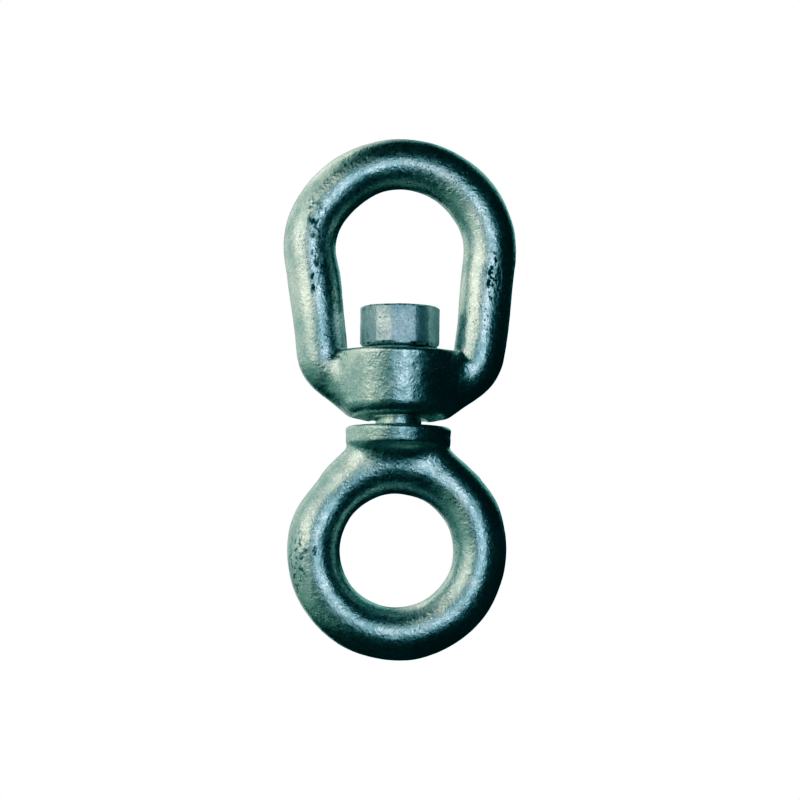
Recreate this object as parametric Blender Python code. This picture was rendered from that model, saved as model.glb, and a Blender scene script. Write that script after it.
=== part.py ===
"""Forged chain swivel: a pear-shaped bow, and an eye bolt that turns in the bow's boss under a locked round nut.

Blender 4.5, metres, +Z up. +Z is the swivel axis, from the eye towards the bow's crown, and X runs across the bow.
The origin is the point inside the crown where the bow bears on whatever it hangs from.
"""

import math

import bmesh
import bpy
from mathutils import Matrix, Vector

MM = 0.001
GAP = 0.3 * MM  # between pieces that touch on the real object

# Bow: bar radii, and the bar's centreline from the crown down one side into the boss
CROWN_BAR_R = 6.85 * MM
SHOULDER_BAR_R = 7.2 * MM
LEG_BAR_R = 7.05 * MM
CROWN_ARC_R = 24.5 * MM
LEG_SLOPE = math.radians(6.5)
LEG_LENGTH = 25.5 * MM
HEEL_ARC_R = 8.0 * MM
HEEL_TURN = math.radians(42)
SOLE_ARC_R = 40.0 * MM
SOLE_TURN = math.radians(22)

# Boss at the bow's foot
BOSS_TOP_Z = -45.7 * MM
BOSS_HEIGHT = 18.3 * MM
BOSS_R = 18.0 * MM
BOSS_DRAFT = 1.6 * MM  # how much narrower the boss is at its foot
BOSS_RIM_ROUND = 1.1 * MM
BOSS_FOOT_ROUND = 4.5 * MM
KEEL_DEPTH = 0.9 * MM  # the bars run on under the boss and reach this far below its foot
BORE_R = 7.15 * MM
BORE_CHAMFER = 0.6 * MM
BORE_FOOT_CHAMFER = 0.4 * MM

# Eye bolt
SHANK_R = 6.35 * MM
SHANK_END_BELOW_NUT_TOP = 0.4 * MM
SHANK_END_CHAMFER = 1.0 * MM
SHANK_ROOT_ROUND = 0.8 * MM
COLLAR_TO_BOSS = 2.5 * MM  # the swivel's axial play and the depth of the keels
COLLAR_R = 14.6 * MM
COLLAR_FOOT_R = 14.2 * MM
COLLAR_HEIGHT = 5.2 * MM
COLLAR_ROUND = 1.1 * MM
EYE_RING_R = 22.95 * MM  # to the middle of the bar
EYE_BAR_R = 7.25 * MM
EYE_CENTRE_Z = -100.6 * MM
NECK_FOOT_Z = -79.7 * MM
NECK_WAIST = 13.6 * MM  # half width just under the collar
NECK_FOOT_HALF_WIDTH = 18.2 * MM
NECK_FOOT_HALF_DEPTH = 6.9 * MM
NECK_HOLLOW = 1.5  # 1 makes its front a straight slope, more hollows it out

# Thrust washer and round nut
WASHER_R = 9.8 * MM
WASHER_BORE_R = 6.85 * MM
WASHER_THICKNESS = 0.8 * MM
WASHER_EDGE = 0.15 * MM
NUT_R = 11.0 * MM
NUT_HEIGHT = 11.2 * MM
NUT_ACROSS_FLATS = 21.0 * MM
NUT_FLATS = 6
NUT_CHAMFER_ACROSS = 0.8 * MM
NUT_CHAMFER_DOWN = 0.5 * MM  # at the top
NUT_CHAMFER_UP = 0.9 * MM  # at the seat
NUT_BORE_CHAMFER = 0.5 * MM
NUT_TURN = math.radians(6)  # the front flat faces this far to the right of -Y

# Cross pin through the nut and the shank
PIN_R = 2.38 * MM
PIN_BELOW_SURFACE = 0.15 * MM
PIN_CHAMFER = 0.3 * MM
PIN_ABOVE_NUT_SEAT = 5.1 * MM
PIN_TURN = NUT_TURN - math.radians(180 / NUT_FLATS)  # the pin comes out in a corner band, not in a flat

# Facets
BAR_SIDES = 20
EYE_SEGMENTS = 60
TURNED_STEPS = 48
NUT_STEPS = 96
PIN_STEPS = 20
CROWN_STATIONS = 18
LEG_STATIONS = 4
HEEL_STATIONS = 6
SOLE_STATIONS = 4
NECK_STATIONS = 6

# Heights that follow from the sizes above
BOSS_FOOT_Z = BOSS_TOP_Z - BOSS_HEIGHT
WASHER_Z = BOSS_TOP_Z + GAP
NUT_SEAT_Z = WASHER_Z + WASHER_THICKNESS + GAP
NUT_TOP_Z = NUT_SEAT_Z + NUT_HEIGHT
SHANK_END_Z = NUT_TOP_Z - SHANK_END_BELOW_NUT_TOP
COLLAR_TOP_Z = BOSS_FOOT_Z - COLLAR_TO_BOSS
COLLAR_FOOT_Z = COLLAR_TOP_Z - COLLAR_HEIGHT
PIN_Z = NUT_SEAT_Z + PIN_ABOVE_NUT_SEAT
PAST = 2.0 * MM  # how far a cutter runs past what it cuts


# ---------------------------------------------------------------- tools

def clear_scene():
    for obj in list(bpy.data.objects):
        bpy.data.objects.remove(obj, do_unlink=True)


def make_material(name, colour, roughness):
    material = bpy.data.materials.new(name)
    material.use_nodes = True
    shader = material.node_tree.nodes["Principled BSDF"]
    shader.inputs["Base Color"].default_value = (*colour, 1.0)
    shader.inputs["Metallic"].default_value = 1.0
    shader.inputs["Roughness"].default_value = roughness
    return material


def object_from(bm, name):
    bmesh.ops.recalc_face_normals(bm, faces=bm.faces)
    mesh = bpy.data.meshes.new(name)
    bm.to_mesh(mesh)
    bm.free()
    obj = bpy.data.objects.new(name, mesh)
    bpy.context.scene.collection.objects.link(obj)
    return obj


def as_cutter(obj):
    obj.hide_render = True
    obj.display_type = "WIRE"
    return obj


def combine(target, other, operation):
    """Adds a Boolean modifier whose second object stays in the file as a guide."""
    modifier = target.modifiers.new(f"{operation.lower()} {other.name}", "BOOLEAN")
    modifier.operation = operation
    modifier.solver = "EXACT"
    modifier.object = as_cutter(other)


def finish(obj, material):
    obj.data.materials.append(material)
    obj.data.shade_smooth()
    obj.data.set_sharp_from_angle(angle=math.radians(30))


def round_corner(centre, radius, start, end, steps=3):
    """Points of an arc in a turned profile, as (radius, height); angles are in degrees from the outward direction."""
    points = []
    for step in range(steps + 1):
        angle = math.radians(start + (end - start) * step / steps)
        points.append((centre[0] + radius * math.cos(angle), centre[1] + radius * math.sin(angle)))
    return points


def turned(name, profile, steps=TURNED_STEPS, closed=False):
    """Spins a profile of (radius, height) points about Z. An open profile starts and ends on the axis."""
    bm = bmesh.new()
    verts = [bm.verts.new((radius, 0, height)) for radius, height in profile]
    edges = [bm.edges.new(pair) for pair in zip(verts, verts[1:])]
    if closed:
        edges.append(bm.edges.new((verts[-1], verts[0])))
    bmesh.ops.spin(bm, geom=verts + edges, cent=(0, 0, 0), axis=(0, 0, 1), angle=math.tau, steps=steps, use_merge=True)
    bmesh.ops.remove_doubles(bm, verts=bm.verts, dist=1e-7)
    return object_from(bm, name)


def loft(name, rings):
    """A solid through rings of points, with a flat cap at each end."""
    bm = bmesh.new()
    loops = [[bm.verts.new(point) for point in ring] for ring in rings]
    for lower, upper in zip(loops, loops[1:]):
        for k in range(len(lower)):
            after = (k + 1) % len(lower)
            bm.faces.new((lower[k], lower[after], upper[after], upper[k]))
    bm.faces.new(loops[0])
    bm.faces.new(loops[-1])
    return object_from(bm, name)


def ring_points(centre, across, along, half_across, half_along, sides):
    """Points of an ellipse about a centre, in the plane of two directions."""
    points = []
    for k in range(sides):
        angle = math.tau * k / sides
        points.append(centre + across * (half_across * math.cos(angle)) + along * (half_along * math.sin(angle)))
    return points


# ---------------------------------------------------------------- bow

def half_centreline():
    """Centre, outward direction and bar radius at stations from the crown to the inside of the boss, for x >= 0."""
    crown_end = math.pi / 2 + LEG_SLOPE
    crown_centre = Vector((0, 0, CROWN_BAR_R - CROWN_ARC_R))
    stations = []

    def outward(turn):
        return Vector((math.sin(turn), 0, math.cos(turn)))

    for k in range(CROWN_STATIONS + 1):
        turn = crown_end * k / CROWN_STATIONS
        swell = math.sin(min(turn, math.pi / 2)) ** 2
        radius = CROWN_BAR_R + (SHOULDER_BAR_R - CROWN_BAR_R) * swell
        stations.append((crown_centre + outward(turn) * CROWN_ARC_R, outward(turn), radius))

    top = stations[-1][0]
    down = Vector((-math.sin(LEG_SLOPE), 0, -math.cos(LEG_SLOPE)))
    for k in range(1, LEG_STATIONS + 1):
        part = k / LEG_STATIONS
        radius = SHOULDER_BAR_R + (LEG_BAR_R - SHOULDER_BAR_R) * part
        stations.append((top + down * (LEG_LENGTH * part), outward(crown_end), radius))

    heel = (HEEL_ARC_R, crown_end, HEEL_TURN, HEEL_STATIONS)
    sole = (SOLE_ARC_R, crown_end + HEEL_TURN, SOLE_TURN, SOLE_STATIONS)
    for arc_r, start, turn_by, count in (heel, sole):
        arc_centre = stations[-1][0] - outward(start) * arc_r
        for k in range(1, count + 1):
            turn = start + turn_by * k / count
            stations.append((arc_centre + outward(turn) * arc_r, outward(turn), LEG_BAR_R))
    return stations


def mirrored(vector):
    return Vector((-vector.x, vector.y, vector.z))


def make_bar():
    right = half_centreline()
    left = [(mirrored(centre), mirrored(outward), radius) for centre, outward, radius in right[1:]]
    rings = []
    for centre, outward, radius in left[::-1] + right:
        rings.append(ring_points(centre, outward, Vector((0, 1, 0)), radius, radius, BAR_SIDES))
    return loft("bow_bar", rings)


def make_bow():
    rim = round_corner((BOSS_R - BOSS_RIM_ROUND, BOSS_TOP_Z - BOSS_RIM_ROUND), BOSS_RIM_ROUND, 90, 0)
    foot_r = BOSS_R - BOSS_DRAFT
    foot = round_corner((foot_r - BOSS_FOOT_ROUND, BOSS_FOOT_Z + BOSS_FOOT_ROUND), BOSS_FOOT_ROUND, 0, -90, steps=5)
    bow = turned("bow", [(0, BOSS_TOP_Z)] + rim + foot + [(0, BOSS_FOOT_Z)])
    combine(bow, make_bar(), "UNION")

    below = bmesh.new()
    depth = 20 * MM
    bmesh.ops.create_cube(below, size=1, matrix=Matrix.Translation((0, 0, BOSS_FOOT_Z - KEEL_DEPTH - depth / 2))
                          @ Matrix.Diagonal((4 * BOSS_R, 4 * BOSS_R, depth, 1)))
    combine(bow, object_from(below, "below_keels"), "DIFFERENCE")

    bore = turned("boss_bore", [
        (0, BOSS_TOP_Z + PAST),
        (BORE_R + BORE_CHAMFER + PAST, BOSS_TOP_Z + PAST),
        (BORE_R, BOSS_TOP_Z - BORE_CHAMFER),
        (BORE_R, BOSS_FOOT_Z + BORE_FOOT_CHAMFER),
        (BORE_R + BORE_FOOT_CHAMFER + PAST, BOSS_FOOT_Z - PAST),
        (0, BOSS_FOOT_Z - PAST),
    ])
    combine(bow, bore, "DIFFERENCE")
    return bow


# ---------------------------------------------------------------- eye bolt

def make_neck():
    """The web between collar and eye: it narrows to the depth of the eye's bar and widens onto the eye's shoulders."""
    sweep = COLLAR_FOOT_R - COLLAR_ROUND - NECK_FOOT_HALF_DEPTH
    drop = COLLAR_FOOT_Z - NECK_FOOT_Z
    levels = [(COLLAR_FOOT_Z + COLLAR_ROUND, NECK_WAIST, NECK_WAIST - COLLAR_ROUND)]
    for k in range(NECK_STATIONS + 1):
        rise = 1 - k / NECK_STATIONS
        half_width = NECK_WAIST + (NECK_FOOT_HALF_WIDTH - NECK_WAIST) * (1 - rise)
        half_depth = NECK_FOOT_HALF_DEPTH + sweep * rise ** NECK_HOLLOW
        levels.append((NECK_FOOT_Z + drop * rise, half_width, half_depth))
    rings = []
    for z, half_width, half_depth in levels:
        centre = Vector((0, 0, z))
        rings.append(ring_points(centre, Vector((1, 0, 0)), Vector((0, 1, 0)), half_width, half_depth, TURNED_STEPS))
    return loft("neck", rings)


def make_eye_bolt():
    collar_top = round_corner((COLLAR_R - COLLAR_ROUND, COLLAR_TOP_Z - COLLAR_ROUND), COLLAR_ROUND, 0, 90)
    collar_foot = round_corner((COLLAR_FOOT_R - COLLAR_ROUND, COLLAR_FOOT_Z + COLLAR_ROUND), COLLAR_ROUND, -90, 0)
    root = round_corner((SHANK_R + SHANK_ROOT_ROUND, COLLAR_TOP_Z + SHANK_ROOT_ROUND), SHANK_ROOT_ROUND, 270, 180)
    bolt = turned("eye_bolt", [(0, COLLAR_FOOT_Z)] + collar_foot + collar_top + root + [
        (SHANK_R, SHANK_END_Z - SHANK_END_CHAMFER),
        (SHANK_R - SHANK_END_CHAMFER, SHANK_END_Z),
        (0, SHANK_END_Z),
    ])
    combine(bolt, make_neck(), "UNION")

    bpy.ops.mesh.primitive_torus_add(
        location=(0, 0, EYE_CENTRE_Z), rotation=(math.pi / 2, 0, 0), major_radius=EYE_RING_R, minor_radius=EYE_BAR_R,
        major_segments=EYE_SEGMENTS, minor_segments=BAR_SIDES)
    ring = bpy.context.object
    ring.name = "eye_ring"
    combine(bolt, ring, "UNION")
    combine(bolt, pin_hole("shank_cross_hole"), "DIFFERENCE")
    return bolt


# ---------------------------------------------------------------- nut, pin and washer

def cross_cylinder(name, radius, half_length, chamfer=0.0):
    """A cylinder along the pin's axis, chamfered at both ends."""
    pin = turned(name, [
        (0, -half_length),
        (radius - chamfer, -half_length),
        (radius, chamfer - half_length),
        (radius, half_length - chamfer),
        (radius - chamfer, half_length),
        (0, half_length),
    ], steps=PIN_STEPS)
    pin.location = (0, 0, PIN_Z)
    pin.rotation_euler = (math.pi / 2, 0, PIN_TURN)
    return pin


def pin_hole(name):
    return cross_cylinder(name, PIN_R + GAP, NUT_R + PAST, chamfer=GAP)


def make_nut():
    bore_r = SHANK_R + GAP
    rim_r = NUT_R - NUT_CHAMFER_ACROSS
    nut = turned("swivel_nut", [
        (bore_r + NUT_BORE_CHAMFER, 0),
        (rim_r, 0),
        (NUT_R, NUT_CHAMFER_UP),
        (NUT_R, NUT_HEIGHT - NUT_CHAMFER_DOWN),
        (rim_r, NUT_HEIGHT),
        (bore_r + NUT_BORE_CHAMFER, NUT_HEIGHT),
        (bore_r, NUT_HEIGHT - NUT_BORE_CHAMFER),
        (bore_r, NUT_BORE_CHAMFER),
    ], steps=NUT_STEPS, closed=True)
    nut.location = (0, 0, NUT_SEAT_Z)

    flats = bmesh.new()
    corner_r = NUT_ACROSS_FLATS / 2 / math.cos(math.pi / NUT_FLATS)
    bmesh.ops.create_cone(flats, cap_ends=True, segments=NUT_FLATS, radius1=corner_r, radius2=corner_r,
                          depth=NUT_HEIGHT + 2 * PAST)
    prism = object_from(flats, "nut_flats")
    prism.location = (0, 0, NUT_SEAT_Z + NUT_HEIGHT / 2)
    prism.rotation_euler = (0, 0, NUT_TURN + math.pi / NUT_FLATS)
    combine(nut, prism, "INTERSECT")
    combine(nut, pin_hole("nut_cross_hole"), "DIFFERENCE")
    return nut


def make_washer():
    washer = turned("thrust_washer", [
        (WASHER_BORE_R, 0),
        (WASHER_R - WASHER_EDGE, 0),
        (WASHER_R, WASHER_EDGE),
        (WASHER_R, WASHER_THICKNESS - WASHER_EDGE),
        (WASHER_R - WASHER_EDGE, WASHER_THICKNESS),
        (WASHER_BORE_R, WASHER_THICKNESS),
    ], closed=True)
    washer.location = (0, 0, WASHER_Z)
    return washer


def main():
    clear_scene()
    galvanised = make_material("galvanised_forging", (0.36, 0.44, 0.40), 0.42)
    turned_zinc = make_material("galvanised_turned", (0.45, 0.54, 0.50), 0.34)
    plain_steel = make_material("plain_steel", (0.30, 0.31, 0.31), 0.40)
    finish(make_bow(), galvanised)
    finish(make_eye_bolt(), galvanised)
    finish(make_nut(), turned_zinc)
    finish(make_washer(), plain_steel)
    finish(cross_cylinder("lock_pin", PIN_R, NUT_R - PIN_BELOW_SURFACE, PIN_CHAMFER), plain_steel)


main()
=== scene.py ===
"""Looks of a forged, hot-dip galvanised chain swivel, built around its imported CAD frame.

The CAD solids give places and sizes. The forgings start as fine, even meshes over their CAD solids, and
the nut over a plain turned blank. Each is then settled onto its own surface, written below as a signed
distance in metres: bars and boss run into each other with forged fillets, the trimmed flash leaves a low
ridge, and the nut keeps its milled flats and turning marks.
"""

import math

import bmesh
import bpy
import numpy as np
from mathutils import Matrix, Vector, noise


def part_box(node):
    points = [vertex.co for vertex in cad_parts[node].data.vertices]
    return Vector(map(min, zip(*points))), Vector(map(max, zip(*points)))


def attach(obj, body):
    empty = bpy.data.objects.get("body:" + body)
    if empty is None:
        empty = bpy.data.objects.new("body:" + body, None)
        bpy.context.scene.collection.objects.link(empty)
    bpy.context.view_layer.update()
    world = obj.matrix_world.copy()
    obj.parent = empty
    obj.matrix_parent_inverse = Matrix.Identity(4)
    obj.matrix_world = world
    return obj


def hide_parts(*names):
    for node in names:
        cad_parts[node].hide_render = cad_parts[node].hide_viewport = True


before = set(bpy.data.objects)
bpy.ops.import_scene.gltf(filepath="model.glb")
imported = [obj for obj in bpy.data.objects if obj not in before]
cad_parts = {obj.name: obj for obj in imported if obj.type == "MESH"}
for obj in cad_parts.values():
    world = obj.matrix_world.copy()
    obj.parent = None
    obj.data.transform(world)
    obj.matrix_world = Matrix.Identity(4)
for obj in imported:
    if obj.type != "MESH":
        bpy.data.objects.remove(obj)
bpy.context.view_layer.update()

MM = 0.001

# ---------------------------------------------------------------- sizes, as in the CAD model

CROWN_BAR_R = 6.85 * MM
SHOULDER_BAR_R = 7.2 * MM
LEG_BAR_R = 7.05 * MM
CROWN_ARC_R = 24.5 * MM
LEG_SLOPE = math.radians(6.5)
LEG_LENGTH = 25.5 * MM
HEEL_ARC_R = 8.0 * MM
HEEL_TURN = math.radians(42)
SOLE_ARC_R = 40.0 * MM
SOLE_TURN = math.radians(22)

BOSS_R = 18.0 * MM
BOSS_DRAFT = 1.6 * MM
BOSS_RIM_ROUND = 1.1 * MM
BOSS_FOOT_ROUND = 4.5 * MM
KEEL_DEPTH = 0.9 * MM
BORE_R = 7.15 * MM

SHANK_R = 6.35 * MM
COLLAR_R = 14.6 * MM
COLLAR_FOOT_R = 14.2 * MM
COLLAR_HEIGHT = 5.2 * MM
COLLAR_ROUND = 1.1 * MM
EYE_RING_R = 22.95 * MM
EYE_BAR_R = 7.25 * MM
NECK_WAIST = 13.6 * MM
NECK_FOOT_HALF_WIDTH = 18.2 * MM
NECK_FOOT_HALF_DEPTH = 6.3 * MM
NECK_TOP_HALF_DEPTH = 11.6 * MM
NECK_SLOPE = 0.35
NECK_FOOT_DROP = 8.5 * MM

NUT_R = 11.0 * MM
NUT_ACROSS_FLATS = 21.0 * MM
NUT_TURN = math.radians(6)
NUT_CHAMFER_ACROSS = 0.8 * MM
NUT_CHAMFER_DOWN = 0.5 * MM
NUT_CHAMFER_UP = 0.9 * MM
PIN_R = 2.38 * MM
PIN_TURN = NUT_TURN - math.radians(30)
THREAD_PITCH = 1.954 * MM

CONTACT_GAP = 0.3 * MM
SWIVEL_GAP = 2.5 * MM

# ---------------------------------------------------------------- this forging's own unevenness

RIGHT_LEG_OUT = 0.6 * MM
SHOULDER_FULLER = 0.2 * MM
LEFT_SHOULDER_FULLER = 0.8 * MM
SHOULDER_THICKER = 0.1 * MM
CROWN_THICKER = 0.15 * MM
EYE_FLAT = 1.15 * MM
EYE_FULL = 0.4 * MM
FLASH_HEIGHT = 0.10 * MM
FLASH_HALF_WIDTH = 0.55 * MM

# Heights, read from the frame
boss_foot_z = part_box("bow")[0].z + KEEL_DEPTH
washer_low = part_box("thrust_washer")[0]
nut_low, nut_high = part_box("swivel_nut")
boss_top_z = washer_low.z - CONTACT_GAP
pin_low, pin_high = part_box("lock_pin")
pin_z = (pin_low.z + pin_high.z) / 2
eye_low, eye_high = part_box("eye_bolt")
eye_centre_z = eye_low.z + EYE_RING_R + EYE_BAR_R
collar_top_z = boss_foot_z - SWIVEL_GAP
collar_foot_z = collar_top_z - COLLAR_HEIGHT


# ---------------------------------------------------------------- signed distances

def smooth_union(first, second, reach):
    """The smaller of two distances, with a fillet about as wide as reach where they meet."""
    share = np.clip(0.5 + 0.5 * (second - first) / reach, 0, 1)
    return second + (first - second) * share - reach * share * (1 - share)


def smooth_cut(first, second, reach):
    """The larger of two distances, with a rounded edge where they meet."""
    return -smooth_union(-first, -second, reach)


def ramp(value, start, end):
    """0 before start, 1 after end, smooth between."""
    share = np.clip((value - start) / (end - start), 0, 1)
    return share * share * (3 - 2 * share)


def from_arc(flat, centre, radius, start, end):
    """Distance in the plane from an arc, and how far along it the nearest point is.

    Angles run from +Z towards +X.
    """
    away = flat - centre
    angle = np.clip(np.arctan2(away[:, 0], away[:, 1]), start, end)
    nearest = centre + radius * np.stack([np.sin(angle), np.cos(angle)], axis=1)
    return np.linalg.norm(flat - nearest, axis=1), angle


def from_polygon(flat, corners):
    """Signed distance in the plane from a closed outline, negative inside."""
    corners = np.array(corners)
    nearest = np.full(len(flat), np.inf)
    inside = np.zeros(len(flat), bool)
    for start, end in zip(corners, np.roll(corners, -1, axis=0)):
        edge = end - start
        away = flat - start
        along = np.clip(away @ edge / (edge @ edge), 0, 1)
        nearest = np.minimum(nearest, ((away - along[:, None] * edge) ** 2).sum(axis=1))
        if start[1] != end[1]:
            spans = (start[1] > flat[:, 1]) != (end[1] > flat[:, 1])
            crossing = start[0] + (flat[:, 1] - start[1]) * edge[0] / edge[1]
            inside ^= spans & (flat[:, 0] < crossing)
    return np.where(inside, -1, 1) * np.sqrt(nearest)


def turned(points, profile):
    """Signed distance from a solid turned about Z, its profile a list of (radius, height)."""
    flat = np.stack([np.hypot(points[:, 0], points[:, 1]), points[:, 2]], axis=1)
    behind_axis = -20 * MM
    corners = [(behind_axis, profile[0][1])] + list(profile) + [(behind_axis, profile[-1][1])]
    return from_polygon(flat, corners)


def rounded(centre, radius, start, end, steps=8):
    """Points of an arc in a turned profile; angles are in degrees from the outward direction."""
    angles = np.radians(np.linspace(start, end, steps + 1))
    return [(centre[0] + radius * math.cos(a), centre[1] + radius * math.sin(a)) for a in angles]


# ---------------------------------------------------------------- the forgings' shapes

def outward(turn):
    return np.array([math.sin(turn), math.cos(turn)])


def from_bow_bar(points):
    """Signed distance from the bow's bar: crown, straight leg, heel and the sole that runs into the boss."""
    towards_foot = 1 - ramp(points[:, 2], -38 * MM, -20 * MM)
    on_right = ramp(points[:, 0], 4 * MM, 12 * MM)
    across = points[:, 0] - RIGHT_LEG_OUT * towards_foot * on_right
    flat = np.stack([np.abs(across), points[:, 2]], axis=1)
    leg_turn = math.pi / 2 + LEG_SLOPE
    crown_centre = np.array([0, CROWN_BAR_R - CROWN_ARC_R])

    away = flat - crown_centre
    turn = np.arctan2(away[:, 0], away[:, 1])
    fuller = SHOULDER_FULLER + LEFT_SHOULDER_FULLER * ramp(-across, 2 * MM, 10 * MM)
    bulge = fuller * np.exp(-((turn - 1.4) / 0.45) ** 2)
    flat = flat - away * (bulge / np.maximum(np.linalg.norm(away, axis=1), 5 * MM))[:, None]

    in_plane, angle = from_arc(flat, crown_centre, CROWN_ARC_R, 0, leg_turn)
    swell = ramp(angle, 0, 0.9)
    shoulder = np.exp(-((angle - 0.85) / 0.4) ** 2)
    radius = CROWN_BAR_R + (SHOULDER_BAR_R - CROWN_BAR_R) * swell
    radius = radius + SHOULDER_THICKER * shoulder + CROWN_THICKER * (1 - swell)
    nearest = np.hypot(in_plane, points[:, 1]) - radius

    leg_top = crown_centre + outward(leg_turn) * CROWN_ARC_R
    down = np.array([-math.sin(LEG_SLOPE), -math.cos(LEG_SLOPE)])
    along = np.clip((flat - leg_top) @ down, 0, LEG_LENGTH)
    in_plane = np.linalg.norm(flat - leg_top - along[:, None] * down, axis=1)
    radius = SHOULDER_BAR_R + (LEG_BAR_R - SHOULDER_BAR_R) * along / LEG_LENGTH
    nearest = np.minimum(nearest, np.hypot(in_plane, points[:, 1]) - radius)

    start = leg_top + down * LEG_LENGTH
    turn = leg_turn
    for arc_r, turn_by in ((HEEL_ARC_R, HEEL_TURN), (SOLE_ARC_R, SOLE_TURN)):
        centre = start - outward(turn) * arc_r
        in_plane, angle = from_arc(flat, centre, arc_r, turn, turn + turn_by)
        nearest = np.minimum(nearest, np.hypot(in_plane, points[:, 1]) - LEG_BAR_R)
        turn += turn_by
        start = centre + outward(turn) * arc_r
    return nearest


def from_boss(points):
    foot_r = BOSS_R - BOSS_DRAFT
    rim = rounded((BOSS_R - BOSS_RIM_ROUND, boss_top_z - BOSS_RIM_ROUND), BOSS_RIM_ROUND, 90, 0)
    foot = rounded((foot_r - BOSS_FOOT_ROUND, boss_foot_z + BOSS_FOOT_ROUND), BOSS_FOOT_ROUND, 0, -90)
    return turned(points, [(0, boss_top_z)] + rim + foot + [(0, boss_foot_z)])


def flash_ridge(points, from_centre_z):
    """Height of the ridge that the trimmed flash leaves where the two dies met."""
    uneven = 0.6 + 0.4 * np.sin(np.arctan2(points[:, 0], points[:, 2] - from_centre_z) * 9)
    return FLASH_HEIGHT * uneven * np.exp(-(points[:, 1] / FLASH_HALF_WIDTH) ** 2)


def bow_distance(points):
    bar = from_bow_bar(points)
    boss = from_boss(points)
    below_rim = 1 - ramp(points[:, 2], boss_top_z - 3.5 * MM, boss_top_z - 0.5 * MM)
    above_foot = ramp(points[:, 2], boss_foot_z + 1 * MM, boss_foot_z + 7 * MM)
    valley = 0.9 * MM + 3.6 * MM * below_rim * above_foot + 0.6 * MM * (1 - above_foot)
    solid = smooth_union(bar, boss, valley)
    above_boss = ramp(points[:, 2], boss_top_z - 1 * MM, boss_top_z + 3 * MM)
    solid = solid - flash_ridge(points, -17.7 * MM) * above_boss
    solid = smooth_cut(solid, boss_foot_z - KEEL_DEPTH - points[:, 2], 0.3 * MM)
    top_chamfer = 0.6 * MM
    foot_chamfer = 0.4 * MM
    bore = turned(points, [
        (BORE_R + top_chamfer + 2 * MM, boss_top_z + 2 * MM),
        (BORE_R, boss_top_z - top_chamfer),
        (BORE_R, boss_foot_z + foot_chamfer),
        (BORE_R + foot_chamfer + 2 * MM, boss_foot_z - 2 * MM),
    ])
    return np.maximum(solid, -bore)


def from_eye_ring(points):
    """The eye, a little flat on its upper left and full on its upper right, as it came out of the die."""
    turn = np.arctan2(points[:, 0], points[:, 2] - eye_centre_z)
    flat = -EYE_FLAT * np.exp(-((turn + 0.90) / 0.28) ** 2)
    full = EYE_FULL * np.exp(-((turn - 1.15) / 0.25) ** 2)
    out = (flat + full) / 2
    around = np.hypot(points[:, 0], points[:, 2] - eye_centre_z) - EYE_RING_R - out
    return np.hypot(around, points[:, 1]) - EYE_BAR_R - out


def from_neck(points):
    """The web under the collar, as an ellipse whose half width and half depth change with height."""
    foot_z = collar_foot_z - NECK_FOOT_DROP
    rise = np.clip((points[:, 2] - foot_z) / NECK_FOOT_DROP, 0, 1)
    half_width = NECK_WAIST + (NECK_FOOT_HALF_WIDTH - NECK_WAIST) * (1 - rise)
    sweep = NECK_TOP_HALF_DEPTH - NECK_FOOT_HALF_DEPTH
    half_depth = NECK_FOOT_HALF_DEPTH + sweep * (NECK_SLOPE * rise + (1 - NECK_SLOPE) * rise ** 2)
    scaled = np.hypot(points[:, 0] / half_width, points[:, 1] / half_depth)
    side = (scaled - 1) * np.minimum(half_width, half_depth)
    side = np.maximum(side, points[:, 2] - (collar_foot_z + COLLAR_ROUND))
    return smooth_cut(side, foot_z - points[:, 2], 3 * MM)


def thread_depth(points):
    """Depth of the thread cut into the shank's upper end, a sixty degree V wound up the shank."""
    turn = np.arctan2(points[:, 1], points[:, 0]) / math.tau
    phase = points[:, 2] / THREAD_PITCH - turn
    flank = np.abs(phase - np.round(phase)) * 2
    threaded = ramp(points[:, 2], nut_low.z + 0.5 * MM, nut_low.z + 1.5 * MM)
    return 0.9 * MM * np.clip(1.0 - 1.15 * flank, 0, 1) * threaded


def eye_bolt_distance(points):
    collar_rim = rounded((COLLAR_R - COLLAR_ROUND, collar_top_z - COLLAR_ROUND), COLLAR_ROUND, 90, 0)
    foot_centre = (COLLAR_FOOT_R - COLLAR_ROUND, collar_foot_z + COLLAR_ROUND)
    collar_foot = rounded(foot_centre, COLLAR_ROUND, 0, -90)
    collar = turned(points, [(0, collar_top_z)] + collar_rim + collar_foot + [(0, collar_foot_z)])
    end_chamfer = 1.0 * MM
    shank = turned(points, [
        (0, eye_high.z),
        (SHANK_R - end_chamfer, eye_high.z),
        (SHANK_R, eye_high.z - end_chamfer),
        (SHANK_R, collar_top_z - 2 * MM),
        (0, collar_top_z - 2 * MM),
    ])
    around = np.hypot(points[:, 0], points[:, 1])
    shank = np.maximum(shank, around - SHANK_R + thread_depth(points))
    below_collar = 1 - ramp(points[:, 2], collar_foot_z - 9 * MM, collar_foot_z - 4 * MM)
    ring = from_eye_ring(points) - flash_ridge(points, eye_centre_z) * below_collar
    forged = smooth_union(ring, from_neck(points), 3.0 * MM)
    forged = smooth_union(forged, collar, 1.8 * MM)
    return smooth_union(forged, shank, 0.8 * MM)


def groove_depth(height):
    """Depth of the turning marks on the nut's round bands."""
    pitch = 1.3 * MM
    uneven = 0.6 + 0.4 * np.sin(height * math.tau / (4.7 * MM))
    return 0.016 * MM * uneven * (1 + np.sin(height * math.tau / pitch))


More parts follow.
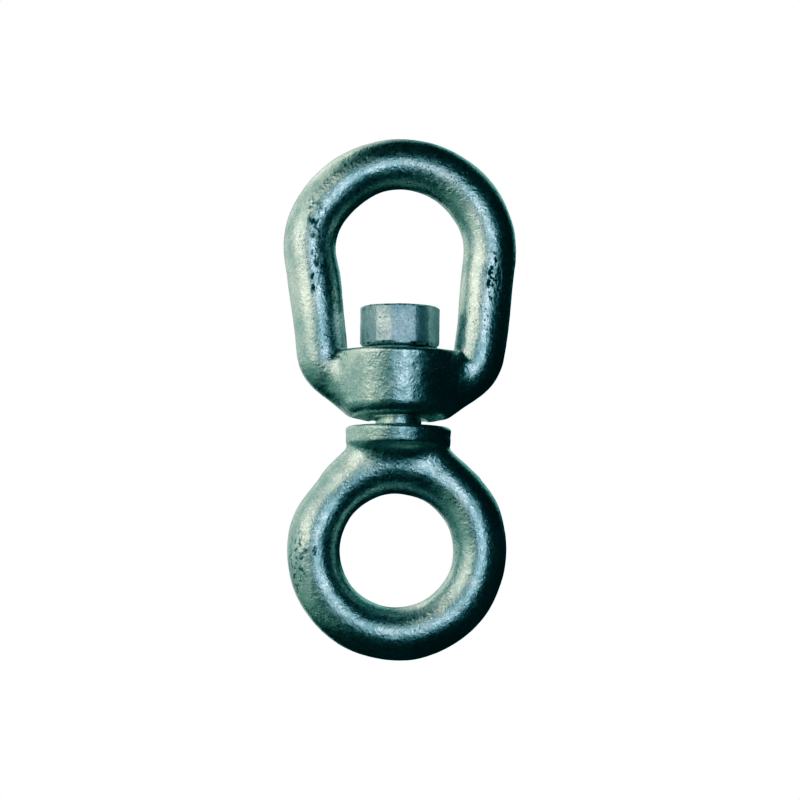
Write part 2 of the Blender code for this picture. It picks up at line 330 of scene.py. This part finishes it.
def nut_distance(points):
    bore_r = SHANK_R + 0.05 * MM
    rim_r = NUT_R - NUT_CHAMFER_ACROSS
    body = turned(points, [
        (0, nut_high.z),
        (rim_r, nut_high.z),
        (NUT_R, nut_high.z - NUT_CHAMFER_DOWN),
        (NUT_R, nut_low.z + NUT_CHAMFER_UP),
        (rim_r, nut_low.z),
        (0, nut_low.z),
    ])
    body = body + groove_depth(points[:, 2])
    for k in range(6):
        facing = NUT_TURN + k * math.pi / 3
        from_flat = points[:, 0] * math.sin(facing) - points[:, 1] * math.cos(facing) - NUT_ACROSS_FLATS / 2
        body = smooth_cut(body, from_flat, 0.10 * MM)
    bore_chamfer = 0.7 * MM
    bore = turned(points, [
        (bore_r + bore_chamfer + 2 * MM, nut_high.z + 2 * MM),
        (bore_r, nut_high.z - bore_chamfer),
        (bore_r, nut_low.z + bore_chamfer),
        (bore_r + bore_chamfer + 2 * MM, nut_low.z - 2 * MM),
    ])
    return smooth_cut(body, -bore, 0.15 * MM)


def from_pin_axis(points):
    across = points[:, 0] * math.cos(PIN_TURN) + points[:, 1] * math.sin(PIN_TURN)
    return np.hypot(across, points[:, 2] - pin_z)


# ---------------------------------------------------------------- meshes

def read_points(mesh):
    flat = np.empty(len(mesh.vertices) * 3, np.float32)
    mesh.vertices.foreach_get("co", flat)
    return flat.reshape(-1, 3).astype(float)


def write_points(mesh, points):
    mesh.vertices.foreach_set("co", points.astype(np.float32).ravel())
    mesh.update()


def read_normals(mesh):
    flat = np.empty(len(mesh.vertices) * 3, np.float32)
    mesh.vertex_normals.foreach_get("vector", flat)
    return flat.reshape(-1, 3).astype(float)


def settle(points, distance, rounds):
    """Moves points along the distance's slope until they lie on its zero surface."""
    probe = 0.02 * MM
    longest = 0.6 * MM
    for _ in range(rounds):
        off = distance(points)
        slope = np.stack([(distance(points + probe * axis) - distance(points - probe * axis)) / (2 * probe)
                          for axis in np.eye(3)], axis=1)
        steep = np.maximum((slope ** 2).sum(axis=1), 0.2)
        move = -slope * (off / steep)[:, None]
        length = np.maximum(np.linalg.norm(move, axis=1), 1e-12)
        points = points + move * np.minimum(1, longest / length)[:, None]
    return points


def evaluated(obj, name):
    """A new mesh of the object as its modifiers leave it."""
    graph = bpy.context.evaluated_depsgraph_get()
    graph.update()
    mesh = bpy.data.meshes.new_from_object(obj.evaluated_get(graph))
    mesh.name = name
    return mesh


def fine_mesh(start, name, voxel, distance):
    """An even mesh over a starting mesh, settled onto a distance's zero surface."""
    draft = bpy.data.objects.new(name + "_draft", start.copy())
    bpy.context.scene.collection.objects.link(draft)
    remesh = draft.modifiers.new("even mesh", "REMESH")
    remesh.mode = "VOXEL"
    remesh.voxel_size = voxel
    mesh = evaluated(draft, name + "_draft")
    draft.modifiers.clear()
    draft.data = mesh
    write_points(mesh, settle(read_points(mesh), distance, 3))
    relax = draft.modifiers.new("even spacing", "SMOOTH")
    relax.factor = 0.5
    relax.iterations = 4
    mesh = evaluated(draft, name)
    bpy.data.objects.remove(draft, do_unlink=True)
    write_points(mesh, settle(read_points(mesh), distance, 3))
    return mesh


def lumps(points, size, octaves=2):
    """Smooth noise between about -1 and 1, with features of the given size."""
    return np.array([noise.fractal(Vector(p), 1.0, 2.0, octaves) for p in points / size])


def roughen(mesh, layers, mask=1.0):
    """Pushes the surface in and out by (size, height) layers of noise."""
    points = read_points(mesh)
    normals = read_normals(mesh)
    push = sum(lumps(points + k * 0.37, size) * height for k, (size, height) in enumerate(layers))
    write_points(mesh, points + normals * (push * mask)[:, None])


def add_piece(mesh, body, nodes, material):
    piece = bpy.data.objects.new(mesh.name, mesh)
    bpy.context.scene.collection.objects.link(piece)
    mesh.materials.clear()
    mesh.materials.append(material)
    mesh.shade_smooth()
    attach(piece, body)
    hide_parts(*nodes)
    return piece


def turned_mesh(name, profile, steps, closed):
    """A turned piece as mesh, from (radius, height) points; a closed profile makes a ring."""
    bm = bmesh.new()
    verts = [bm.verts.new((radius, 0, height)) for radius, height in profile]
    edges = [bm.edges.new(pair) for pair in zip(verts, verts[1:])]
    if closed:
        edges.append(bm.edges.new((verts[-1], verts[0])))
    bmesh.ops.spin(bm, geom=verts + edges, axis=(0, 0, 1), angle=math.tau, steps=steps, use_merge=True)
    bmesh.ops.remove_doubles(bm, verts=bm.verts, dist=1e-7)
    bmesh.ops.recalc_face_normals(bm, faces=bm.faces)
    mesh = bpy.data.meshes.new(name)
    bm.to_mesh(mesh)
    bm.free()
    mesh.set_sharp_from_angle(angle=math.radians(40))
    return mesh


# ---------------------------------------------------------------- materials

class Nodes:
    """Short calls for building a node tree."""

    def __init__(self, material):
        material.use_nodes = True
        self.tree = material.node_tree
        self.shader = self.tree.nodes["Principled BSDF"]
        coordinates = self.tree.nodes.new("ShaderNodeTexCoord")
        self.place = coordinates.outputs["Object"]

    def link(self, value, socket):
        if isinstance(value, bpy.types.NodeSocket):
            self.tree.links.new(value, socket)
        else:
            socket.default_value = value

    def noise(self, size, detail=2.0, roughness=0.5, place=None):
        node = self.tree.nodes.new("ShaderNodeTexNoise")
        self.link(place or self.place, node.inputs["Vector"])
        node.inputs["Scale"].default_value = 1 / size
        node.inputs["Detail"].default_value = detail
        node.inputs["Roughness"].default_value = roughness
        return node.outputs["Fac"]

    def cells(self, size, place=None):
        node = self.tree.nodes.new("ShaderNodeTexVoronoi")
        self.link(place or self.place, node.inputs["Vector"])
        node.inputs["Scale"].default_value = 1 / size
        return node.outputs["Distance"]

    def stretch(self, scale):
        node = self.tree.nodes.new("ShaderNodeMapping")
        self.link(self.place, node.inputs["Vector"])
        node.inputs["Scale"].default_value = scale
        return node.outputs["Vector"]

    def band(self, value, start, end, low=0.0, high=1.0):
        node = self.tree.nodes.new("ShaderNodeMapRange")
        node.interpolation_type = "SMOOTHSTEP"
        self.link(value, node.inputs["Value"])
        node.inputs["From Min"].default_value = start
        node.inputs["From Max"].default_value = end
        node.inputs["To Min"].default_value = low
        node.inputs["To Max"].default_value = high
        return node.outputs["Result"]

    def math(self, operation, first, second=0.0):
        node = self.tree.nodes.new("ShaderNodeMath")
        node.operation = operation
        self.link(first, node.inputs[0])
        self.link(second, node.inputs[1])
        return node.outputs["Value"]

    def mix(self, share, first, second):
        node = self.tree.nodes.new("ShaderNodeMix")
        node.data_type = "RGBA"
        self.link(share, node.inputs["Factor"])
        self.link(first, node.inputs["A"])
        self.link(second, node.inputs["B"])
        return node.outputs["Result"]

    def attribute(self, name):
        node = self.tree.nodes.new("ShaderNodeAttribute")
        node.attribute_name = name
        return node.outputs["Fac"]

    def bump(self, height, distance, strength, normal=None):
        node = self.tree.nodes.new("ShaderNodeBump")
        self.link(height, node.inputs["Height"])
        node.inputs["Distance"].default_value = distance
        node.inputs["Strength"].default_value = strength
        if normal is not None:
            self.link(normal, node.inputs["Normal"])
        return node.outputs["Normal"]


def galvanised(name, pale, deep, grain_height, stain_amount, roughest):
    """Hot-dip zinc: sugary grain, cloudy tone, dark stains that sit in the pits, and each piece's own dark
    marks, painted shade among them.
    """
    material = bpy.data.materials.new(name)
    nodes = Nodes(material)
    cloud = nodes.noise(9 * MM, 3)
    grain = nodes.noise(0.55 * MM, 3, 0.65)
    crystals = nodes.cells(0.8 * MM)
    tone = nodes.math("ADD", nodes.math("MULTIPLY", cloud, 0.55), nodes.math("MULTIPLY", grain, 0.45))
    colour = nodes.mix(nodes.band(tone, 0.40, 0.60), deep, pale)

    specks = nodes.band(nodes.cells(1.1 * MM), 0.16, 0.30, 1.0, 0.0)
    speck_zone = nodes.band(nodes.noise(11 * MM, 2), 0.52, 0.64)
    specks = nodes.math("MULTIPLY", nodes.math("MULTIPLY", specks, speck_zone), stain_amount)
    patchy = nodes.band(nodes.noise(1.1 * MM, 3, 0.6, nodes.stretch((1, 1, 0.7))), 0.50, 0.62)
    # Each piece's marked darkening: stains, long streaks down the bow's left leg, and painted shade along
    # the nut's chamfers and round the pin's ends, all mixed towards one dark colour.
    marked = nodes.math("MULTIPLY", nodes.attribute("stain_and_shade"), patchy)
    stain_and_shade = nodes.math("MINIMUM", nodes.math("MAXIMUM", specks, marked), 1.0)
    clean = nodes.math("SUBTRACT", 1.0, stain_and_shade)
    colour = nodes.mix(stain_and_shade, colour, (0.03, 0.06, 0.06, 1))
    nodes.link(colour, nodes.shader.inputs["Base Color"])

    nodes.shader.inputs["Metallic"].default_value = 1.0
    rough = nodes.band(nodes.noise(1.3 * MM, 4), 0.3, 0.7, roughest - 0.1, roughest)
    rough = nodes.math("ADD", rough, nodes.math("MULTIPLY", stain_and_shade, 0.25))
    nodes.link(rough, nodes.shader.inputs["Roughness"])

    pits = nodes.bump(clean, 0.12 * MM, 1.0)
    peel = nodes.bump(nodes.noise(2.2 * MM, 2), 0.09 * MM, 1.0, pits)
    sugar = nodes.bump(grain, grain_height, 1.0, peel)
    facets = nodes.bump(crystals, grain_height * 0.5, 1.0, sugar)
    nodes.link(facets, nodes.shader.inputs["Normal"])
    return material


# ---------------------------------------------------------------- pieces

def paint_dark_spots(mesh, spots):
    """Marks dark spots, stains and darker streaks, as (x, z, half width, half height, strength) on the
    front, in metres.
    """
    points = read_points(mesh)
    marked = np.zeros(len(points))
    front = ramp(-points[:, 1], -1 * MM, 2 * MM)
    for x, z, half_width, half_height, strength in spots:
        away = np.hypot((points[:, 0] - x) / half_width, (points[:, 2] - z) / half_height)
        marked = np.maximum(marked, strength * (1 - ramp(away, 0.3, 1.0)) * front)
    mark_stain_and_shade(mesh, marked)


def mark_stain_and_shade(mesh, amount):
    # Stores each point's darkening, stains and painted shade alike.
    layer = mesh.attributes.new("stain_and_shade", "FLOAT", "POINT")
    layer.data.foreach_set("value", amount.astype(np.float32))


def make_bow(material):
    mesh = fine_mesh(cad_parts["bow"].data, "forged_bow", 0.42 * MM, bow_distance)
    roughen(mesh, [(15 * MM, 0.16 * MM), (3.4 * MM, 0.05 * MM), (1.3 * MM, 0.016 * MM)])
    on_boss = 1 - ramp(read_points(mesh)[:, 2], boss_top_z - 2 * MM, boss_top_z + 1 * MM)
    roughen(mesh, [(2.6 * MM, 0.035 * MM), (1.0 * MM, 0.014 * MM)], on_boss)
    paint_dark_spots(mesh, [
        # The first three spots darken the left leg's front in long streaks.
        (-24.6 * MM, -9 * MM, 1.6 * MM, 8 * MM, 1.0),
        (-24.0 * MM, -27 * MM, 1.4 * MM, 6 * MM, 1.1),
        (-23.2 * MM, -15 * MM, 2.4 * MM, 18 * MM, 0.9),
        (25.6 * MM, -25 * MM, 3.0 * MM, 10 * MM, 1.6),
    ])
    return add_piece(mesh, "bow", ["bow"], material)


def make_eye_bolt(material):
    mesh = fine_mesh(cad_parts["eye_bolt"].data, "forged_eye_bolt", 0.42 * MM, eye_bolt_distance)
    on_shank = ramp(read_points(mesh)[:, 2], collar_top_z - 1 * MM, collar_top_z + 1 * MM)
    roughen(mesh, [(13 * MM, 0.14 * MM), (3.0 * MM, 0.045 * MM), (1.3 * MM, 0.014 * MM)], 1 - 0.9 * on_shank)
    paint_dark_spots(mesh, [
        (-27.0 * MM, -105 * MM, 3.5 * MM, 13 * MM, 0.8),
        (-23.5 * MM, -101.5 * MM, 3 * MM, 2.5 * MM, 0.9),
    ])
    return add_piece(mesh, "eye", ["eye_bolt"], material)


def make_nut(material):
    blank = turned_mesh("nut_blank", [
        (SHANK_R, nut_low.z),
        (NUT_R, nut_low.z),
        (NUT_R, nut_high.z),
        (SHANK_R, nut_high.z),
    ], 96, closed=True)
    mesh = fine_mesh(blank, "round_nut", 0.24 * MM, nut_distance)
    roughen(mesh, [(4 * MM, 0.02 * MM), (1.4 * MM, 0.045 * MM)])
    points = read_points(mesh)
    # Painted shade: dark arcs above and below each of the pin's ends, darker at the top, standing in for the
    # shadow in the seam round the pin.
    height = points[:, 2] - pin_z
    near_rim = 1 - ramp(np.abs(from_pin_axis(points) - PIN_R), 0.05 * MM, 0.28 * MM)
    marked = 3 * near_rim * ramp(np.abs(height), PIN_R * 0.8, PIN_R) * ramp(height, -3 * PIN_R, 2 * PIN_R)
    around = np.hypot(points[:, 0], points[:, 1])
    outside = ramp(around, NUT_R - 1 * MM, NUT_R - 0.3 * MM)
    # Painted shade: darkening along the top and foot chamfers near the outer edge, stronger at the foot,
    # standing in for the shade these chamfers catch.
    on_top_chamfer = ramp(points[:, 2], nut_high.z - 0.6 * MM, nut_high.z - 0.4 * MM)
    on_foot_chamfer = 1 - ramp(points[:, 2], nut_low.z + 0.5 * MM, nut_low.z + 1.0 * MM)
    near_edge = ramp(around, NUT_R - 1.3 * MM, NUT_R - 0.9 * MM)
    painted_chamfer_shade = (0.8 * on_top_chamfer + 1.6 * on_foot_chamfer) * near_edge
    mark_stain_and_shade(mesh, np.maximum(marked * outside, painted_chamfer_shade))
    return add_piece(mesh, "eye", ["swivel_nut"], material)


def make_washer(material):
    inner, outer = 6.85 * MM, 9.8 * MM
    low = boss_top_z + 0.05 * MM
    high = nut_low.z - 0.05 * MM
    edge = 0.25 * MM
    profile = []
    for radius, height, start in (
        (outer - edge, low + edge, -90),
        (outer - edge, high - edge, 0),
        (inner + edge, high - edge, 90),
        (inner + edge, low + edge, 180),
    ):
        profile += rounded((radius, height), edge, start, start + 90, 4)
    mesh = turned_mesh("bearing_washer", profile, 160, closed=True)
    return add_piece(mesh, "washer", ["thrust_washer"], material)


def make_pin(material):
    """The pin, ground off flush with the nut, so that only its ends' edges show."""
    half = NUT_R + 0.02 * MM
    end = [(PIN_R * k / 8, half) for k in range(9)]
    far_end = [(radius, -height) for radius, height in end]
    mesh = turned_mesh("cross_pin", far_end + end[::-1], 64, closed=False)
    points = read_points(mesh)
    flush = np.sqrt(half ** 2 - points[:, 0] ** 2) - groove_depth(points[:, 1] + pin_z)
    points[:, 2] = np.copysign(flush, points[:, 2])
    write_points(mesh, points)
    mesh.transform(Matrix.Translation((0, 0, pin_z)) @ Matrix.Rotation(PIN_TURN, 4, "Z")
                   @ Matrix.Rotation(math.pi / 2, 4, "X"))
    return add_piece(mesh, "eye", ["lock_pin"], material)


# ---------------------------------------------------------------- stage, light and camera

def softbox(name, azimuth, elevation, distance, half_width, half_height, radiance, colour):
    """A panel that faces the swivel.

    Azimuth 0 is the front, positive to its right. The half sizes are angles.
    """
    target = Vector((0, 0, -59 * MM))
    around, above = math.radians(azimuth), math.radians(elevation)
    outwards = Vector((
        math.sin(around) * math.cos(above),
        -math.cos(around) * math.cos(above),
        math.sin(above),
    ))
    data = bpy.data.lights.new(name, "AREA")
    data.shape = "RECTANGLE"
    data.size = 2 * distance * math.tan(math.radians(half_width))
    data.size_y = 2 * distance * math.tan(math.radians(half_height))
    data.energy = radiance * math.pi * data.size * data.size_y
    data.color = colour
    light = bpy.data.objects.new(name, data)
    light.location = target + outwards * distance
    light.rotation_euler = outwards.to_track_quat("Z", "Y").to_euler()
    light.visible_camera = False
    bpy.context.scene.collection.objects.link(light)


def make_world():
    world = bpy.data.worlds.new("studio")
    world.use_nodes = True
    bpy.context.scene.world = world
    tree = world.node_tree
    background = tree.nodes["Background"]
    background.inputs["Color"].default_value = (0.0, 0.012, 0.013, 1)
    backdrop = tree.nodes.new("ShaderNodeBackground")
    backdrop.inputs["Color"].default_value = (1, 1, 1, 1)
    seen = tree.nodes.new("ShaderNodeLightPath")
    either = tree.nodes.new("ShaderNodeMixShader")
    tree.links.new(seen.outputs["Is Camera Ray"], either.inputs[0])
    tree.links.new(background.outputs[0], either.inputs[1])
    tree.links.new(backdrop.outputs[0], either.inputs[2])
    tree.links.new(either.outputs[0], tree.nodes["World Output"].inputs["Surface"])


def make_floor():
    bm = bmesh.new()
    bmesh.ops.create_circle(bm, cap_ends=True, radius=12, segments=96)
    mesh = bpy.data.meshes.new("floor")
    bm.to_mesh(mesh)
    bm.free()
    floor = bpy.data.objects.new("floor", mesh)
    floor.location = (0, 0, -0.5)
    floor.visible_glossy = False
    bpy.context.scene.collection.objects.link(floor)
    material = bpy.data.materials.new("pale_floor")
    material.use_nodes = True
    shader = material.node_tree.nodes["Principled BSDF"]
    shader.inputs["Base Color"].default_value = (0.9, 0.9, 0.9, 1)
    shader.inputs["Roughness"].default_value = 1.0
    shader.inputs["Specular IOR Level"].default_value = 0.0
    shader.inputs["Emission Color"].default_value = (1, 1, 1, 1)
    shader.inputs["Emission Strength"].default_value = 0.85
    mesh.materials.append(material)


def make_camera():
    distance = 1.1
    frame_width = 221.3 * MM
    sensor = 36.0
    tilt = math.radians(5)
    roll = math.radians(0.85)
    target = Vector((0.35 * MM, 0, -58.9 * MM))
    ahead = Vector((0, math.cos(tilt), math.sin(tilt)))
    data = bpy.data.cameras.new("camera")
    data.sensor_width = sensor
    data.lens = sensor * distance / frame_width
    data.clip_start = 0.01
    data.clip_end = 100
    camera = bpy.data.objects.new("camera", data)
    place = Matrix.Translation(target - ahead * distance)
    facing = ahead.to_track_quat("-Z", "Y").to_matrix().to_4x4()
    camera.matrix_world = place @ facing @ Matrix.Rotation(roll, 4, "Z")
    bpy.context.scene.collection.objects.link(camera)
    bpy.context.scene.camera = camera


def grade_colours():
    """Plain tone mapping, with the cool, deep shadows of a cheap studio camera."""
    view = bpy.context.scene.view_settings
    view.view_transform = "Standard"
    view.use_curve_mapping = True
    red, green, blue, _ = view.curve_mapping.curves
    for curve, points in (
        (red, ((0.05, 0.012), (0.20, 0.13), (0.60, 0.585))),
        (green, ((0.02, 0.012), (0.22, 0.21))),
        (blue, ((0.02, 0.013), (0.22, 0.22))),
    ):
        for start, end in points:
            curve.points.new(start, end)
    view.curve_mapping.update()


make_camera()
make_world()
make_floor()
softbox("left_front", -46, 15, 0.55, 25, 21, 1.22, (0.96, 1.0, 0.90))
softbox("left", -106, 28, 0.60, 34, 37, 0.66, (0.90, 1.0, 0.90))
softbox("left_low", -82, -22, 0.65, 42, 18, 0.30, (0.78, 1.0, 0.82))
softbox("left_back", -156, 20, 0.8, 20, 40, 0.60, (0.92, 1.0, 0.90))
softbox("right_back", 158, 28, 0.9, 16, 18, 0.60, (0.62, 1.0, 0.90))
softbox("front", 11, 2, 0.9, 15, 17, 1.65, (0.66, 0.84, 1.0))

forging_zinc = galvanised(
    "galvanised_forging", pale=(0.86, 0.90, 0.84, 1), deep=(0.52, 0.61, 0.58, 1),
    grain_height=0.08 * MM, stain_amount=0.5, roughest=0.34,
)
turned_zinc = galvanised(
    "galvanised_turned", pale=(0.97, 1.0, 0.98, 1), deep=(0.58, 0.64, 0.68, 1),
    grain_height=0.12 * MM, stain_amount=0.0, roughest=0.50,
)
# Painted shade: the washer's steel is coloured near black, standing in for the shaded gap under the nut.
plain_steel = galvanised(
    "plain_steel", pale=(0.20, 0.23, 0.22, 1), deep=(0.13, 0.15, 0.15, 1),
    grain_height=0.02 * MM, stain_amount=0.0, roughest=0.40,
)
make_bow(forging_zinc)
make_eye_bolt(forging_zinc)
make_nut(turned_zinc)
make_washer(plain_steel)
make_pin(turned_zinc)

grade_colours()
